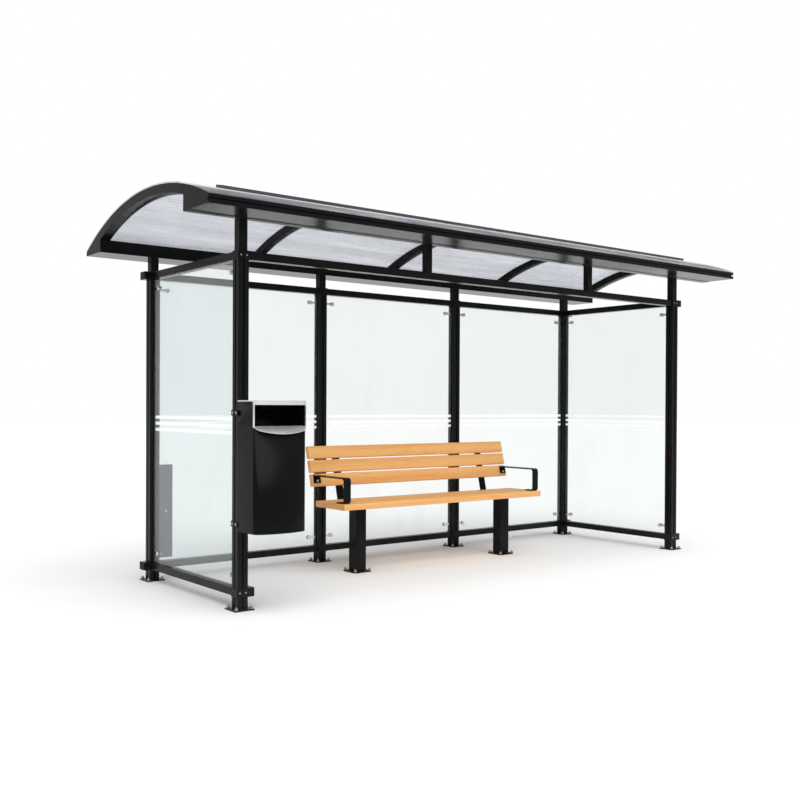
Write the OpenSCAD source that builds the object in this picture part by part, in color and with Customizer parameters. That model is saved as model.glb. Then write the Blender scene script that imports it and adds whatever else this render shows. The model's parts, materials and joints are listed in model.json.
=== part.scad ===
// Three-bay bus shelter: posts and rails with glass walls, arched roof, bench and litter bin.
// Units are millimetres. X runs along the shelter, the open front faces -Y, Z is up.
// The origin is on the ground, under the middle of the roof's outline.

/* [Posts] */
// Spacing of the posts along the shelter
bay = 1380; // [1100:10:1700]
// Spacing of the front and rear rows of posts
row_gap = 1230; // [1050:10:1700]
// Width of a square post
post_w = 70; // [60:1:90]
// Height of a post, which ends at the top of the upper rails
post_h = 2118; // [2000:2:2600]
// Width of the slot down the middle of each post face
slot_w = 11; // [8:0.5:14]
// Depth of that slot
slot_d = 9; // [6:0.5:14]
// Width of the narrower struts that stand on the posts
strut_w = 56; // [40:1:60]
// Width of the two struts between the front rail and the front beam
mid_strut_w = 48; // [36:1:56]
// How far the front struts reach up behind the front beam
strut_lap = 90; // [20:5:100]
// Distance of the first middle strut from the left posts
mid_strut_a = 1425; // [1300:5:1500]
// Distance of the second middle strut from the left posts
mid_strut_b = 3060; // [2800:5:3200]

/* [Base plates] */
// Side of a post's base plate
plate_w = 130; // [116:1:170]
// Thickness of a base plate
plate_t = 8; // [6:1:15]
// Spacing of its four bolt holes
bolt_gap = 100; // [94:1:130]
// Diameter of a bolt hole
bolt_hole_d = 13.5; // [10:0.5:18]

/* [Rails] */
// Height of a rail
rail_h = 48; // [36:1:70]
// Depth of a rail
rail_w = 58; // [40:1:66]
// Underside of the lower rails above the ground
low_rail_z = 80; // [60:1:200]
// How far a collar stands out from its post
collar_proud = 4; // [2:0.5:8]
// How far a collar reaches above and below its rail
collar_over = 3; // [1:0.5:6]
// Length of a collar's free socket
socket_l = 38; // [20:1:60]

/* [Roof] */
// Roof length beyond the end posts' middle
end_over = 385; // [250:10:600]
// Roof depth in front of the front posts' middle
front_over = 340; // [250:10:450]
// Roof depth behind the rear posts' middle
rear_over = 220; // [150:10:300]
// Outer radius of the curved roof sheet
roof_r = 2018; // [1950:2:2600]
// Height of the roof's crown
crown_z = 2520; // [2500:1:2800]
// Distance of the crown behind the front posts' middle
crown_y = 447; // [400:1:520]
// Thickness of the roof sheet
sheet_t = 8; // [6:1:16]
// Height of an end arch's tube
arch_h = 58; // [50:1:70]
// Width of an end arch's tube
arch_w = 70; // [50:1:100]
// Height of an inner rib
rib_h = 52; // [30:1:58]
// Width of an inner rib
rib_w = 50; // [30:1:70]
// Spacing of the inner ribs
rib_gap = 1240; // [1000:10:1300]
// Underside of the rear beam above the ground
rear_beam_z = 2218; // [2180:1:2240]
// Height of the rear beam's front face
rear_beam_h = 84; // [60:1:90]
// Underside of the front beam above the ground
front_beam_z = 2298; // [2260:1:2310]
// Height of the groove along the front beam's nose
groove_h = 12; // [6:1:18]
// Depth of that groove
groove_d = 16; // [8:1:24]
// Height of the groove above the beam's underside
groove_z = 21; // [12:1:30]
// Length of the raised strip on top of the sheet
strip_l = 4400; // [2000:10:4600]
// Width of that strip
strip_w = 90; // [40:5:160]
// Height of that strip
strip_h = 18; // [10:1:40]

/* [Glass] */
// Thickness of a glass panel
glass_t = 8; // [6:1:10]
// How far a panel's edge sits in a post's slot
glass_in = 6; // [2:0.5:8]
// Gap between a panel and the collars above and below it
glass_gap = 3; // [1:0.5:10]
// Diameter of a glass clamp's button
button_d = 30; // [20:1:45]
// Thickness of a button
button_t = 9; // [5:1:14]
// Distance of a button from the post's face
button_x = 68; // [45:1:110]
// Distance of a button from the rail above or below it
button_z = 66; // [45:1:110]
// Height of a button's arm
button_arm_h = 14; // [8:1:20]

/* [Service box] */
// Width of the service box on the rear left post
box_w = 96; // [60:1:130]
// Underside of the box above the ground
box_z = 155; // [140:5:300]
// Height of the box
box_h = 640; // [400:10:900]

/* [Bench] */
// Length of the seat
seat_l = 1970; // [1500:10:2300]
// Depth of the seat
seat_d = 365; // [300:5:450]
// Thickness of the seat
seat_t = 43; // [30:1:60]
// Height of the seat's top
seat_z = 516; // [430:1:540]
// Distance of the seat's front edge behind the front posts' middle
seat_y = 478; // [400:5:560]
// Spacing of the legs
leg_gap = 1450; // [1000:10:1600]
// Width of a leg
leg_w = 90; // [60:1:110]
// Distance of the legs' middle behind the seat's front edge
leg_y = 202; // [150:1:240]
// Width of a leg's base plate
foot_w = 165; // [140:1:200]
// Cut across the corners of a leg's base plate
foot_cut = 22; // [8:1:30]
// Width of the plates under the seat
bracket_w = 150; // [110:1:200]
// Thickness of the plates under the seat
bracket_t = 10; // [6:1:14]
// Height of one back slat
slat_h = 91; // [70:1:110]
// Gap between back slats
slat_gap = 13; // [6:1:20]
// Thickness of a back slat
slat_t = 34; // [25:1:50]
// Number of back slats
slats = 3; // [3:1:3]
// Height of the lowest slat's lower edge
back_z = 619; // [570:1:640]
// Gap in plan between the seat and the lowest slat
back_gap = 37; // [20:1:60]
// Lean of the backrest
back_tilt = 14; // [5:1:20]
// Width of a back support
support_w = 62; // [40:1:80]
// Thickness of a back support
support_t = 10; // [6:1:12]
// Width of an armrest's flat bar
arm_w = 58; // [40:1:70]
// Thickness of an armrest's flat bar
arm_t = 9; // [6:1:12]
// Height of an armrest above the seat
arm_z = 184; // [150:1:200]
// Outer bend radius of an armrest
arm_r = 26; // [16:1:40]
// Length of an armrest's foot on the seat
arm_foot = 95; // [60:1:120]
// Distance of an armrest's middle from the seat's end
arm_x = 42; // [36:1:80]
// Distance of an armrest's front behind the seat's front edge
arm_y = 22; // [10:1:60]

/* [Litter bin] */
// Width of the bin
bin_w = 346; // [300:2:450]
// Depth of the bin's flat sides
bin_d = 202; // [120:1:260]
// Bulge of the bin's front
bin_bulge = 38; // [30:1:80]
// Radius of the bin's front corners
bin_r = 45; // [20:1:60]
// Underside of the bin above the ground
bin_z = 468; // [400:1:600]
// Height of the bin with its lid
bin_h = 769; // [600:1:850]
// Thickness of the bin's wall
bin_t = 3; // [2:0.5:5]
// Height of the bin's opening below the lid
bin_open_h = 125; // [90:1:160]
// Height of the lid's front rim
lid_h = 26; // [16:1:40]
// How far the lid stands out from the bin
lid_proud = 4; // [2:0.5:8]
// Thickness of the lid and the trim
trim_t = 3; // [2:0.5:4]
// Width of the trim beside the opening
trim_w = 14; // [8:1:20]
// Height of a bin clamp
clamp_h = 34; // [24:1:50]
// Thickness of a bin clamp
clamp_t = 5; // [3:0.5:8]

/* [Hidden] */
$fn = 48;

METAL = "#28292b";
SLIT = "#1a1b1c";
WOOD = "#e8a860";
STEEL = "#c8cacc";
CLEAR = [0.86, 0.90, 0.92, 0.4];

// Plan of the posts
half_l = 1.5 * bay;
front_y = -(front_over + row_gap + rear_over) / 2 + front_over;
rear_y = front_y + row_gap;
post_x = [-half_l, -bay / 2, bay / 2, half_l];
collar_w = post_w + 2 * collar_proud;
collar_h = rail_h + 2 * collar_over;
low_collar_z = low_rail_z - collar_over;
top_collar_z = post_h - collar_h;
top_rail_z = top_collar_z + collar_over;

// Roof outline
roof_l = 2 * (half_l + end_over);
nose_y = front_y - front_over;
tail_y = rear_y + rear_over;
arch_z = crown_z - roof_r;
arch_y = front_y + crown_y;
bed_r = roof_r - sheet_t;
front_face = front_y - strut_w / 2;
rear_face = rear_y - strut_w / 2;
rear_top = rear_beam_z + rear_beam_h;

// Bench places
seat_front = front_y + seat_y;
seat_back = seat_front + seat_d;
leg_mid = seat_front + leg_y;
bracket_z = seat_z - seat_t - bracket_t;
back_y = seat_back + back_gap;
back_h = slats * slat_h + (slats - 1) * slat_gap;
arm_top = seat_z + arm_z;

// Bin places
bin_x = -half_l - post_w / 2;
bin_back = front_y - post_w / 2;
bin_top = bin_z + bin_h;
open_z = bin_top - lid_h - bin_open_h;
lip_drop = 26;

BIG = 9000;
ROOF_FN = 180;

// Moves children to each post of the front (two posts) or rear row (four posts).
module at_posts(front = true, rear = true) {
    for (i = [0 : 3]) {
        if (rear) translate([post_x[i], rear_y, 0]) children();
        if (front && (i == 0 || i == 3)) translate([post_x[i], front_y, 0]) children();
    }
}

module block(x, y, z, w, d, h) {
    translate([x, y, z]) cube([w, d, h]);
}

module post(x, y) {
    color(METAL) translate([x, y, plate_t]) difference() {
        block(-post_w / 2, -post_w / 2, 0, post_w, post_w, post_h - plate_t);
        for (a = [0 : 90 : 270])
            rotate(a) block(post_w / 2 - slot_d, -slot_w / 2, -1, slot_d + 1, slot_w, post_h + 2);
    }
}

module base_plates() {
    color(METAL) at_posts() difference() {
        block(-plate_w / 2, -plate_w / 2, 0, plate_w, plate_w, plate_t);
        for (x = [-1, 1], y = [-1, 1])
            translate([x * bolt_gap / 2, y * bolt_gap / 2, -1]) cylinder(d = bolt_hole_d, h = plate_t + 2);
    }
}

// Square collar around a post, with a free socket to the side that `side` gives (-1, 0 or 1).
module collar(x, y, z, side) {
    color(METAL) translate([x, y, z]) {
        difference() {
            block(-collar_w / 2, -collar_w / 2, 0, collar_w, collar_w, collar_h);
            block(-post_w / 2, -post_w / 2, -1, post_w, post_w, collar_h + 2);
        }
        if (side != 0)
            translate([side * (collar_w + socket_l) / 2, 0, collar_h / 2])
                cube([socket_l, collar_w, collar_h], center = true);
    }
}

module low_collars() {
    collar(post_x[0], front_y, low_collar_z, 1);
    collar(post_x[3], front_y, low_collar_z, 1);
    collar(post_x[0], rear_y, low_collar_z, -1);
    collar(post_x[1], rear_y, low_collar_z, 0);
    collar(post_x[2], rear_y, low_collar_z, 0);
    collar(post_x[3], rear_y, low_collar_z, 1);
}

module top_collars() {
    collar(post_x[0], front_y, top_collar_z, 1);
    collar(post_x[3], front_y, top_collar_z, 1);
    collar(post_x[0], rear_y, top_collar_z, -1);
    collar(post_x[1], rear_y, top_collar_z, 0);
    collar(post_x[2], rear_y, top_collar_z, 0);
    collar(post_x[3], rear_y, top_collar_z, 1);
}

module side_rail(x, z) {
    color(METAL) block(x - rail_w / 2, front_y + collar_w / 2, z, rail_w, row_gap - collar_w, rail_h);
}

module rear_rails(z) {
    color(METAL) for (i = [0 : 2])
        block(post_x[i] + collar_w / 2, rear_y - rail_w / 2, z, bay - collar_w, rail_w, rail_h);
}

module top_rail_front() {
    x0 = -half_l + collar_w / 2 + socket_l;
    color(METAL) block(x0, front_y - rail_w / 2, top_rail_z,
        half_l - collar_w / 2 - x0, rail_w, rail_h);
}

module strut(x, y, w, z, top) {
    color(METAL) block(x - w / 2, y - w / 2, z, w, w, top - z);
}

module front_struts() {
    top = front_beam_z + strut_lap;
    for (i = [0, 3]) strut(post_x[i], front_y, strut_w, post_h, top);
    for (x = [mid_strut_a, mid_strut_b])
        strut(x - half_l, front_face + mid_strut_w / 2, mid_strut_w, top_rail_z + rail_h, top);
}

module rear_struts() {
    for (x = post_x) strut(x, rear_y, strut_w, post_h, rear_beam_z);
}

// Bent bar along the roof's arch between radii r0 and r1, cut to a depth range and a lowest height.
module arch_bar(x, w, r0, r1, y0, y1, z0) {
    intersection() {
        translate([x, arch_y, arch_z]) rotate([90, 0, 90]) linear_extrude(w) difference() {
            circle(r = r1, $fn = ROOF_FN);
            circle(r = r0, $fn = ROOF_FN);
        }
        block(x - 1, y0, z0, w + 2, y1 - y0, roof_r);
    }
}

// Arch or rib between the front beam's inner face and the rear beam's top.
module roof_bar(x, w, h) {
    color(METAL) arch_bar(x, w, bed_r - h, bed_r, front_face, tail_y, rear_top);
}

module roof_ribs() {
    for (i = [-1 : 1]) roof_bar(i * rib_gap - rib_w / 2, rib_w, rib_h);
}

module roof_sheet() {
    color(CLEAR) arch_bar(-roof_l / 2, roof_l, bed_r, roof_r, nose_y, tail_y, arch_z + roof_r / 2);
}

module roof_strip() {
    color(METAL) arch_bar(-strip_l / 2, strip_l, roof_r, roof_r + strip_h,
        front_y - strip_w / 4, front_y + 3 * strip_w / 4, arch_z + roof_r / 2);
}

// Beam that fills a depth range from a flat underside up to the sheet's bed.
module beam(y0, y1, z0, z1) {
    intersection() {
        block(-roof_l / 2, y0, z0, roof_l, y1 - y0, z1 - z0);
        translate([-roof_l / 2, arch_y, arch_z]) rotate([90, 0, 90])
            cylinder(r = bed_r, h = roof_l, $fn = ROOF_FN);
    }
}

module roof_front_beam() {
    color(METAL) difference() {
        beam(nose_y, front_face, front_beam_z, crown_z);
        block(-roof_l / 2 - 1, nose_y - 1, front_beam_z + groove_z, roof_l + 2, groove_d + 1, groove_h);
    }
}

module roof_rear_beam() {
    color(METAL) beam(rear_face, tail_y, rear_beam_z, rear_top);
}

// Glass panel of width w between two posts, centred on the origin in the XZ plane.
module glass(w) {
    z0 = low_collar_z + collar_h + glass_gap;
    color(CLEAR) block(-w / 2, -glass_t / 2, z0, w, glass_t, top_collar_z - glass_gap - z0);
}

module side_glass(x) {
    translate([x, (front_y + rear_y) / 2, 0]) rotate(90) glass(row_gap - post_w + 2 * glass_in);
}

module rear_glass(i) {
    translate([post_x[i] + bay / 2, rear_y, 0]) glass(bay - post_w + 2 * glass_in);
}

// Button and arm on both faces of a panel: dir points from the post along the panel.
module glass_clamp(z, dir, faces) {
    for (face = faces) mirror([dir < 0 ? 1 : 0, 0, 0]) mirror([0, face < 0 ? 1 : 0, 0])
        translate([post_w / 2, glass_t / 2, z]) {
            translate([button_x, 0, 0]) rotate([-90, 0, 0]) cylinder(d = button_d, h = button_t);
            block(0, 0, -button_arm_h / 2, button_x, button_t / 2, button_arm_h);
        }
}

module glass_clamps() {
    low = low_rail_z + rail_h + button_z;
    high = top_rail_z - button_z;
    both = [-1, 1];
    color(STEEL) {
        for (x = [post_x[0], post_x[3]], z = [low, high]) {
            translate([x, front_y, 0]) rotate(90) glass_clamp(z, 1, both);
            translate([x, rear_y, 0]) rotate(90) glass_clamp(z, -1, both);
        }
        for (i = [0 : 2], z = [low, high]) {
            translate([post_x[i], rear_y, 0]) glass_clamp(z, 1, i == 0 && z == low ? [1] : both);
            translate([post_x[i + 1], rear_y, 0]) glass_clamp(z, -1, both);
        }
    }
}

module service_box() {
    color("#8a8c8e") block(post_x[0] + post_w / 2, rear_y - post_w / 2, box_z,
        box_w, (post_w - glass_t) / 2, box_h);
}

module bench_seat() {
    color(WOOD) block(-seat_l / 2, seat_front, seat_z - seat_t, seat_l, seat_d, seat_t);
}

// Moves children to the backrest's leaning frame, at the lower front edge of the lowest slat.
module on_back() {
    translate([0, back_y, back_z]) rotate([-back_tilt, 0, 0]) children();
}

module bench_slat(i) {
    color(WOOD) on_back()
        block(-seat_l / 2, 0, i * (slat_h + slat_gap), seat_l, slat_t, slat_h);
}

module bench_legs() {
    color(METAL) for (s = [-1, 1])
        block(s * leg_gap / 2 - leg_w / 2, leg_mid - leg_w / 2, plate_t, leg_w, leg_w, bracket_z - plate_t);
}

module bench_base_plates() {
    f = foot_w / 2;
    c = f - foot_cut;
    hole = (f + leg_w / 2) / 2;
    color(METAL) for (s = [-1, 1]) translate([s * leg_gap / 2, leg_mid, 0]) difference() {
        linear_extrude(plate_t) polygon([[-f, -c], [-c, -f], [c, -f], [f, -c],
            [f, c], [c, f], [-c, f], [-f, c]]);
        for (x = [-1, 1], y = [-1, 1])
            translate([x * hole, y * hole, -1]) cylinder(d = bolt_hole_d, h = plate_t + 2);
    }
}

// Plate under the seat and the bar that rises from it behind the slats.
module bench_brackets() {
    y0 = leg_mid - leg_w / 2 - 30;
    rise = back_z - (bracket_z + bracket_t);
    foot_y = back_y - rise * tan(back_tilt) + (slat_t + support_t) / cos(back_tilt) + bracket_t;
    color(METAL) for (s = [-1, 1]) translate([s * leg_gap / 2, 0, 0]) {
        block(-bracket_w / 2, y0, bracket_z, bracket_w, foot_y - y0, bracket_t);
        intersection() {
            on_back() block(-support_w / 2, slat_t, -2 * rise, support_w, support_t, 2 * rise + back_h - 20);
            block(-support_w, 0, bracket_z + bracket_t / 2, 2 * support_w, BIG, BIG);
        }
    }
}

// Side view of an armrest's bent flat bar: y runs from the front edge to the back, then up.
module armrest_outline(reach) {
    difference() {
        union() {
            translate([arm_r, 0]) square([reach - arm_r, arm_z]);
            translate([0, arm_r]) square([arm_r, arm_z - 2 * arm_r]);
            for (z = [arm_r, arm_z - arm_r]) translate([arm_r, z]) circle(r = arm_r);
        }
        translate([arm_r, arm_t]) square([reach, arm_z - 2 * arm_t]);
        translate([arm_t, arm_r]) square([arm_r, arm_z - 2 * arm_r]);
        for (z = [arm_r, arm_z - arm_r]) translate([arm_r, z]) circle(r = arm_r - arm_t);
        translate([arm_foot, -1]) square([reach, arm_z - arm_t]);
    }
}

module bench_armrest(side) {
    x = side * (seat_l / 2 - arm_x);
    y = seat_front + arm_y;
    reach = back_y + arm_z - y;
    tab_z = (arm_top - back_z) / cos(back_tilt);
    color(METAL) difference() {
        union() {
            translate([x - arm_w / 2, y, seat_z]) rotate([90, 0, 90]) linear_extrude(arm_w)
                armrest_outline(reach);
            on_back() block(x - arm_w / 2, -arm_t, tab_z - 62, arm_w, arm_t, 56);
        }
        on_back() block(-BIG / 2, 0, -BIG / 2, BIG, BIG, BIG);
    }
}

function arc(x, y, r, a0, a1, n = 8) =
    [for (i = [0 : n]) let (a = a0 + (a1 - a0) * i / n) [x + r * cos(a), y + r * sin(a)]];

// Plan of the bin, grown by g: flat back and sides, and a bulged front with round corners.
module bin_plan(g = 0) {
    w = bin_w + 2 * g;
    h = w / 2;
    bulge_r = (h * h + bin_bulge * bin_bulge) / (2 * bin_bulge);
    lean = asin((h - bin_r) / (bulge_r - bin_r));
    cy = bulge_r - bin_bulge - bin_d - g;
    ry = cy - (bulge_r - bin_r) * cos(lean);
    translate([bin_x - g, bin_back])
        polygon(concat([[w, 0], [0, 0]],
            arc(bin_r, ry, bin_r, 180, 270 - lean),
            arc(h, cy, bulge_r, 270 - lean, 270 + lean, 16),
            arc(w - bin_r, ry, bin_r, 270 + lean, 360)));
}

module bin_shell(z, h, g) {
    difference() {
        translate([0, 0, z]) linear_extrude(h) bin_plan(g);
        translate([0, 0, z - 1]) linear_extrude(h + 2) intersection() {
            bin_plan(g - bin_t);
            translate([bin_x - BIG / 2, bin_back - bin_t - BIG]) square(BIG);
        }
    }
}

// Room in front of the bin's opening plane, above a plane that falls toward the front.
module bin_front(z) {
    fall = atan(lip_drop / bin_bulge);
    y = bin_back - bin_d + bin_r / 2;
    intersection() {
        translate([bin_x - 20, y, z]) rotate([fall, 0, 0])
            translate([0, -BIG, 0]) cube([bin_w + 40, 2 * BIG, BIG]);
        block(bin_x - 20, y - BIG, 0, bin_w + 40, BIG, BIG);
    }
}

module bin_body() {
    color(METAL) {
        difference() {
            bin_shell(bin_z, bin_h - lid_h, 0);
            bin_front(open_z);
        }
        translate([0, 0, bin_z]) linear_extrude(bin_t) bin_plan(0);
    }
}

// Lid: a flat plate with a rim turned down around the front.
module bin_lid() {
    color(STEEL) {
        translate([0, 0, bin_top - trim_t]) linear_extrude(trim_t) bin_plan(lid_proud);
        translate([0, 0, bin_top - lid_h]) linear_extrude(trim_t) bin_plan(lid_proud);
        bin_shell(bin_top - lid_h, lid_h, lid_proud);
    }
}

// Trim: the sloping lip inside the opening's lower edge, and a strip up its left edge.
module bin_trim() {
    y = bin_back - bin_d + bin_r / 2;
    color(STEEL) {
        intersection() {
            difference() {
                bin_front(open_z);
                translate([0, 0, trim_t]) bin_front(open_z);
            }
            translate([0, 0, bin_z]) linear_extrude(bin_h) bin_plan(trim_t);
        }
        block(bin_x - trim_t, y - trim_w, open_z, trim_t, trim_w, bin_open_h);
    }
}

module bin_clamps() {
    color(METAL) for (z = [bin_z + 24, bin_top - lid_h - clamp_h - 30])
        translate([post_x[0], front_y, z]) difference() {
            block(-post_w / 2 - clamp_t, -post_w / 2, 0, post_w + 2 * clamp_t, post_w + clamp_t, clamp_h);
            block(-post_w / 2, -post_w / 2 - 1, -1, post_w, post_w + 1, clamp_h + 2);
        }
}

post(post_x[0], front_y);  // post_front_left
post(post_x[3], front_y);  // post_front_right
post(post_x[0], rear_y);  // post_rear_left
post(post_x[1], rear_y);  // post_rear_middle_left
post(post_x[2], rear_y);  // post_rear_middle_right
post(post_x[3], rear_y);  // post_rear_right
base_plates();
low_collars();
top_collars();
front_struts();
rear_struts();
side_rail(post_x[0], low_rail_z);  // low_rail_left
side_rail(post_x[3], low_rail_z);  // low_rail_right
rear_rails(low_rail_z);  // low_rails_rear
side_rail(post_x[0], top_rail_z);  // top_rail_left
side_rail(post_x[3], top_rail_z);  // top_rail_right
rear_rails(top_rail_z);  // top_rails_rear
top_rail_front();
roof_front_beam();
roof_rear_beam();
roof_bar(-roof_l / 2, arch_w, arch_h);  // roof_arch_left
roof_bar(roof_l / 2 - arch_w, arch_w, arch_h);  // roof_arch_right
roof_ribs();
roof_sheet();
roof_strip();
side_glass(post_x[0]);  // glass_left
side_glass(post_x[3]);  // glass_right
rear_glass(0);  // glass_rear_left
rear_glass(1);  // glass_rear_middle
rear_glass(2);  // glass_rear_right
glass_clamps();
service_box();
bench_seat();
bench_slat(0);  // bench_slat_low
bench_slat(1);  // bench_slat_middle
bench_slat(2);  // bench_slat_top
bench_legs();
bench_base_plates();
bench_brackets();
bench_armrest(-1);  // bench_armrest_left
bench_armrest(1);  // bench_armrest_right
bin_body();
bin_lid();
bin_trim();
bin_clamps();
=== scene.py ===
"""Looks of the three-bay bus shelter.

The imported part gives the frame, roof, glass, bench and bin their shapes and sizes. This script
gives them their finishes, rounds their edges, and adds the small pieces that hold them: anchor
nuts, rubber seals, screws, socket plugs and printed stripes. Units are metres, Z up, and the
origin is on the ground under the middle of the roof.
"""

import json
import logging
import math
from dataclasses import dataclass, replace
from enum import Enum
from typing import Iterable, Sequence

import bmesh
import bpy
from mathutils import Matrix, Vector

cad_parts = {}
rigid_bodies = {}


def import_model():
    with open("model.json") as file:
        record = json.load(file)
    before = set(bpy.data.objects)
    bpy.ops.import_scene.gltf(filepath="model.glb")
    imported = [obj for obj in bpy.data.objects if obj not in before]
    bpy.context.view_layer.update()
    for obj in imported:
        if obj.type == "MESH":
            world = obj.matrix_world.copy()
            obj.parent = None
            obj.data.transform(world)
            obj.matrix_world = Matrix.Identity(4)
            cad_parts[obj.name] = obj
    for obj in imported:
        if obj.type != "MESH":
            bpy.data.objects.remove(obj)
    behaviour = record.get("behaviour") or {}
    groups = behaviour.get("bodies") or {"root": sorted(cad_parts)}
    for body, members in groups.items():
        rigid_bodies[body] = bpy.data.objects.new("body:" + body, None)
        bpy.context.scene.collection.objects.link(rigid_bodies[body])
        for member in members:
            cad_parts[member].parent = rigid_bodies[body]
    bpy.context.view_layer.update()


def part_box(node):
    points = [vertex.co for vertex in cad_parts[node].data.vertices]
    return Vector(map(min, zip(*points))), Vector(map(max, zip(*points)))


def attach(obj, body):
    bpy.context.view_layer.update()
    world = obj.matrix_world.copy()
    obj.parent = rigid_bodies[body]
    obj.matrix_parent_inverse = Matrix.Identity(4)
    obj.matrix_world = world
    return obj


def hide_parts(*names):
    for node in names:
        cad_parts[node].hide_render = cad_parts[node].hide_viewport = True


LOG = logging.getLogger("bus_shelter")
MM = 0.001

# Sockets of the Mix node when it mixes colours.
MIX_FACTOR, MIX_A, MIX_B, MIX_RESULT = 0, 6, 7, 2

Point = tuple[float, float, float]
Pair = tuple[float, float]
Socket = bpy.types.NodeSocket
Tree = bpy.types.NodeTree


class Slot(Enum):
    """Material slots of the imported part."""

    FRAME = "black_frame"
    GLASS = "glass"
    WOOD = "wood"
    STEEL = "black_steel"
    STAINLESS = "stainless"
    CLAMP = "clamp_metal"
    BOX = "grey_box"


class Axis(Enum):
    """Directions that a turned piece can point."""

    UP = (0.0, 0.0, 1.0)
    LEFT = (-1.0, 0.0, 0.0)
    RIGHT = (1.0, 0.0, 0.0)
    FRONT = (0.0, -1.0, 0.0)
    BACK = (0.0, 1.0, 0.0)


# ---------------------------------------------------------------- finishes


def linear(hex_colour: str) -> tuple[float, float, float, float]:
    """Turns an sRGB hex colour to linear RGBA.

    Args:
        hex_colour: Six hex digits after a hash, such as "#d9a066".

    Returns:
        Red, green, blue and an alpha of 1.
    """
    parts = [int(hex_colour[i : i + 2], 16) / 255 for i in (1, 3, 5)]
    low = [c / 12.92 if c <= 0.04045 else ((c + 0.055) / 1.055) ** 2.4 for c in parts]
    return low[0], low[1], low[2], 1.0


def per_mm(size_mm: float) -> float:
    """Pattern scale whose features are about size_mm across."""
    return 1 / (size_mm * MM)


def add_node(
    tree: Tree, kind: str, inputs: dict | None = None, **settings: object
) -> bpy.types.Node:
    """Adds a node with its settings, values and links.

    Args:
        tree: Node tree that the node goes in.
        kind: Blender's name of the node type.
        inputs: Value, or socket to link from, for each input by name or index.
        **settings: Properties of the node.

    Returns:
        The new node.
    """
    node = tree.nodes.new(kind)
    for name, value in settings.items():
        setattr(node, name, value)
    for key, value in (inputs or {}).items():
        if isinstance(value, Socket):
            tree.links.new(value, node.inputs[key])
        else:
            node.inputs[key].default_value = value
    return node


@dataclass(frozen=True)
class Finish:
    """A surface finish, which makes its material once."""

    name: str

    def material(self) -> bpy.types.Material:
        """Gives the finish's material.

        Returns:
            The material, made on the first call.
        """
        made = bpy.data.materials.get(self.name)
        if made is None:
            made = bpy.data.materials.new(self.name)
            made.use_nodes = True
            tree = made.node_tree
            tree.nodes.clear()
            place = add_node(tree, "ShaderNodeTexCoord").outputs["Object"]
            add_node(tree, "ShaderNodeOutputMaterial", {"Surface": self.shader(tree, place)})
        return made

    def shader(self, tree: Tree, place: Socket) -> Socket:
        """Builds the finish's nodes.

        Args:
            tree: The material's node tree.
            place: Where a point is, in metres in the shelter's frame.

        Returns:
            The shader that the surface shows.
        """
        raise NotImplementedError

    def grain(self, tree: Tree, place: Socket, size_mm: Point, detail: float = 3.0) -> Socket:
        """Noise whose features have their own size along each axis.

        Args:
            tree: The material's node tree.
            place: Where a point is, in metres.
            size_mm: Feature size along X, Y and Z.
            detail: Layers of finer noise.

        Returns:
            The noise, from 0 to 1.
        """
        scale = tuple(per_mm(s) for s in size_mm)
        mapped = add_node(
            tree, "ShaderNodeMapping", {"Vector": place, "Scale": scale}
        ).outputs["Vector"]
        return add_node(
            tree,
            "ShaderNodeTexNoise",
            {"Vector": mapped, "Scale": 1.0, "Detail": detail, "Roughness": 0.55},
        ).outputs["Fac"]

    def spread(self, tree: Tree, value: Socket, source: Pair, target: Pair) -> Socket:
        """Maps a value from one range to another and clamps it.

        Args:
            tree: The material's node tree.
            value: The value to map.
            source: Its lowest and highest value.
            target: What these become.

        Returns:
            The mapped value.
        """
        return add_node(
            tree,
            "ShaderNodeMapRange",
            {
                "Value": value,
                "From Min": source[0],
                "From Max": source[1],
                "To Min": target[0],
                "To Max": target[1],
            },
        ).outputs["Result"]

    def blend(self, tree: Tree, share: Socket | float, a: object, b: object) -> Socket:
        """Mixes two colours.

        Args:
            tree: The material's node tree.
            share: How much of b shows.
            a: First colour or socket.
            b: Second colour or socket.

        Returns:
            The mixed colour.
        """
        inputs = {MIX_FACTOR: share, MIX_A: a, MIX_B: b}
        return add_node(tree, "ShaderNodeMix", inputs, data_type="RGBA").outputs[MIX_RESULT]

    def bump(self, tree: Tree, height: Socket, depth_mm: float, strength: float) -> Socket:
        """Normal of a surface with a fine relief.

        Args:
            tree: The material's node tree.
            height: Relief from 0 to 1.
            depth_mm: Its depth.
            strength: How much it shows.

        Returns:
            The normal.
        """
        inputs = {"Height": height, "Distance": depth_mm * MM, "Strength": strength}
        return add_node(tree, "ShaderNodeBump", inputs).outputs["Normal"]


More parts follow.
